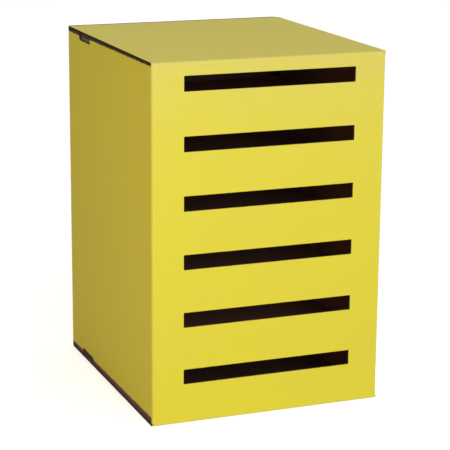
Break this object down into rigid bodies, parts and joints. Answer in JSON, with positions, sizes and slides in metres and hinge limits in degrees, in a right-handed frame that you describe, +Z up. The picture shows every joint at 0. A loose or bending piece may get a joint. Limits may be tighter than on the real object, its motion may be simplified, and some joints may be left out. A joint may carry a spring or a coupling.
{
  "type": "letter mailbox",
  "caption": "Free-standing letter mailbox of yellow corrugated board: paper goes in through slots in the front onto inner shelves and comes out through a tuck door at the rear.",
  "frame": {"origin": "middle of the base, on the surface that the mailbox stands on", "axes": "+Z up, -Y out of the slotted front, +X to the right as seen from the front"},
  "size_m": [0.3048, 0.343, 0.4509],
  "materials": {
    "yellow_board": "smooth yellow printed liner with a slight sheen, dark brown raw edges and inner face",
    "dark_board": "matte dark brown corrugated board"
  },
  "bodies": {
    "carton": {"front_panel": "yellow_board", "left_side_panel": "yellow_board", "right_side_panel": "yellow_board", "bottom_panel": "yellow_board", "bottom_tuck_flap": "yellow_board", "top_left_dust_flap": "yellow_board", "top_right_dust_flap": "yellow_board", "bottom_left_dust_flap": "yellow_board", "bottom_right_dust_flap": "yellow_board", "left_shelf_wall": "dark_board", "right_shelf_wall": "dark_board", "shelf_1": "dark_board", "shelf_2": "dark_board", "shelf_3": "dark_board", "shelf_4": "dark_board", "shelf_5": "dark_board"},
    "lid": {"top_panel": "yellow_board"},
    "lid_tuck": {"top_tuck_flap": "yellow_board"},
    "door": {"rear_door": "yellow_board"},
    "door_tuck": {"rear_door_tuck_flap": "yellow_board"}
  },
  "joints": [
    {"name": "rear_door_hinge", "type": "hinge", "parent": "carton", "child": "door", "pos_m": [-0.1524, 0.17145, 0.22545], "axis": [0, 0, 1], "range_deg": [0, 120]},
    {"name": "rear_door_tuck_fold", "type": "hinge", "parent": "door", "child": "door_tuck", "pos_m": [0.1489, 0.17145, 0.22545], "axis": [0, 0, 1], "range_deg": [0, 40]},
    {"name": "lid_hinge", "type": "hinge", "parent": "carton", "child": "lid", "pos_m": [0, -0.17145, 0.4509], "axis": [1, 0, 0], "range_deg": [0, 110]},
    {"name": "lid_tuck_fold", "type": "hinge", "parent": "lid", "child": "lid_tuck", "pos_m": [0, 0.16795, 0.4509], "axis": [1, 0, 0], "range_deg": [0, 40]}
  ],
  "couplings": [
    {"joint": "rear_door_tuck_fold", "follows": "rear_door_hinge", "ratio": 0.3333},
    {"joint": "lid_tuck_fold", "follows": "lid_hinge", "ratio": 0.3636}
  ]
}
